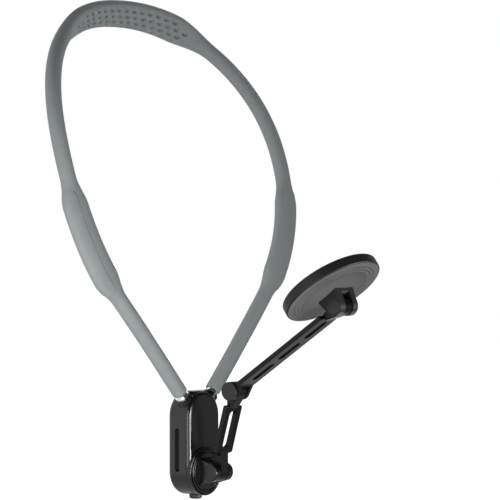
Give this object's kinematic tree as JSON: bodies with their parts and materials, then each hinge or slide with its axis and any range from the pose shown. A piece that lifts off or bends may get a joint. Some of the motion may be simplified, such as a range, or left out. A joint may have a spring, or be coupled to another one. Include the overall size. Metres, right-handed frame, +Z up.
{
  "type": "neck phone holder",
  "caption": "Bendable neckband with soft pads that carries a chest housing, a swivelling folding arm and a round magnetic phone disc.",
  "frame": {"origin": "middle of the nape pad's inner face, where the band rests on the back of the neck", "axes": "+Z up, -Y ahead of the wearer, +X to the right seen from the front"},
  "size_m": [0.2006, 0.1887, 0.2893],
  "materials": {
    "band_silicone": "matt moulded silicone, cool mid grey",
    "core_metal": "plain bendable strip",
    "ferrule_chrome": "polished plating",
    "housing_black": "satin black moulding",
    "arm_black": "fine matt black moulding",
    "disc_black": "fine matt black moulding, dark grey back",
    "pin_black": "black coated steel",
    "screw_steel": "plain steel",
    "magnet_nickel": "nickel plated magnet",
    "plug_rubber": "black rubber",
    "face_silicone": "dark soft silicone"
  },
  "bodies": {
    "neck_frame": {"neckband_sleeve": "band_silicone", "neckband_core": "core_metal", "left_ferrule": "ferrule_chrome", "right_ferrule": "ferrule_chrome", "rear_shell": "housing_black", "front_cover": "housing_black", "housing_screws": "screw_steel", "bottom_plug": "plug_rubber", "swivel_bezel": "housing_black"},
    "swivel": {"swivel_base": "arm_black", "swivel_washer": "screw_steel", "swivel_bolt": "screw_steel", "lower_hinge_pin": "pin_black", "lower_hinge_cap": "pin_black", "lower_hinge_washers": "screw_steel"},
    "lower_link": {"lower_arm": "arm_black"},
    "upper_link": {"upper_arm": "arm_black", "elbow_pin": "pin_black", "elbow_cap": "pin_black", "elbow_washers": "screw_steel"},
    "head": {"disc_back": "disc_black", "steel_plate": "screw_steel", "magnet_ring": "magnet_nickel", "magnet_carrier": "arm_black", "face_pad": "face_silicone", "disc_screws": "screw_steel", "head_pin": "pin_black", "head_cap": "pin_black", "head_washers": "screw_steel"}
  },
  "joints": [
    {"name": "base_swivel", "type": "hinge", "parent": "neck_frame", "child": "swivel", "pos_m": [0, -0.06333, -0.26303], "axis": [0, -1, 0], "continuous": true},
    {"name": "lower_hinge", "type": "hinge", "parent": "swivel", "child": "lower_link", "pos_m": [0, -0.07213, -0.26303], "axis": [1, 0, 0], "range_deg": [-16, 74]},
    {"name": "elbow", "type": "hinge", "parent": "lower_link", "child": "upper_link", "pos_m": [0, -0.08569, -0.21574], "axis": [1, 0, 0], "range_deg": [-40, 75]},
    {"name": "head_tilt", "type": "hinge", "parent": "upper_link", "child": "head", "pos_m": [0, -0.16124, -0.16573], "axis": [1, 0, 0], "range_deg": [-5, 185]}
  ]
}
